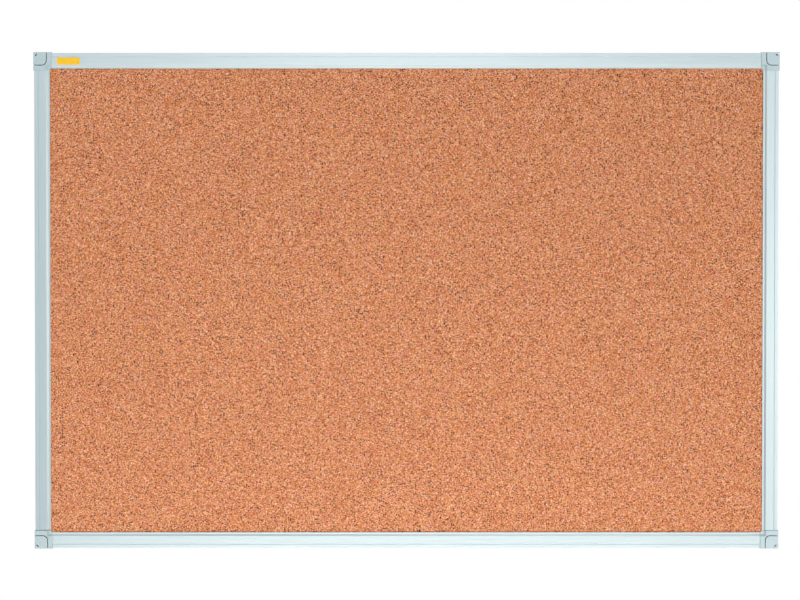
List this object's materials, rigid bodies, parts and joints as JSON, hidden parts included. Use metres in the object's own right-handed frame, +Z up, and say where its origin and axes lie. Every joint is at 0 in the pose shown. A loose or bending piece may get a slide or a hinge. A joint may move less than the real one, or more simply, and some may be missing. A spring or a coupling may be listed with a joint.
{
  "type": "cork board",
  "caption": "Framed cork notice board for a wall: a pin panel in hollow aluminium rails, with corner blocks whose covers lift off the wells for the wall screws.",
  "frame": {"origin": "middle of the board on the plane of its back, which is the wall it hangs on", "axes": "+X to the right seen from the front, +Y from the front to the wall, +Z up the wall"},
  "size_m": [0.9, 0.016, 0.6],
  "materials": {
    "cork": "matte",
    "softboard": "matte",
    "backing_paper": "matte",
    "anodised_aluminium": "satin",
    "grey_plastic": "satin",
    "zinc_plated_steel": "satin",
    "yellow_vinyl": "satin"
  },
  "bodies": {
    "board": {"cork_sheet": "cork", "core_board": "softboard", "backing_sheet": "backing_paper", "rail_top": "anodised_aluminium", "rail_bottom": "anodised_aluminium", "rail_left": "anodised_aluminium", "rail_right": "anodised_aluminium", "corner_top_left": "grey_plastic", "corner_top_right": "grey_plastic", "corner_bottom_left": "grey_plastic", "corner_bottom_right": "grey_plastic", "screw_top_rail_left": "zinc_plated_steel", "screw_top_rail_right": "zinc_plated_steel", "screw_right_rail_top": "zinc_plated_steel", "screw_right_rail_bottom": "zinc_plated_steel", "screw_bottom_rail_right": "zinc_plated_steel", "screw_bottom_rail_left": "zinc_plated_steel", "screw_left_rail_bottom": "zinc_plated_steel", "screw_left_rail_top": "zinc_plated_steel", "label": "yellow_vinyl"},
    "top_left_cover": {"cover_top_left": "grey_plastic"},
    "top_right_cover": {"cover_top_right": "grey_plastic"},
    "bottom_left_cover": {"cover_bottom_left": "grey_plastic"},
    "bottom_right_cover": {"cover_bottom_right": "grey_plastic"}
  },
  "joints": [
    {"name": "top_left_cover_pull", "type": "slide", "parent": "board", "child": "top_left_cover", "axis": [0, -1, 0], "range_m": [0, 0.02]},
    {"name": "top_right_cover_pull", "type": "slide", "parent": "board", "child": "top_right_cover", "axis": [0, -1, 0], "range_m": [0, 0.02]},
    {"name": "bottom_left_cover_pull", "type": "slide", "parent": "board", "child": "bottom_left_cover", "axis": [0, -1, 0], "range_m": [0, 0.02]},
    {"name": "bottom_right_cover_pull", "type": "slide", "parent": "board", "child": "bottom_right_cover", "axis": [0, -1, 0], "range_m": [0, 0.02]}
  ]
}
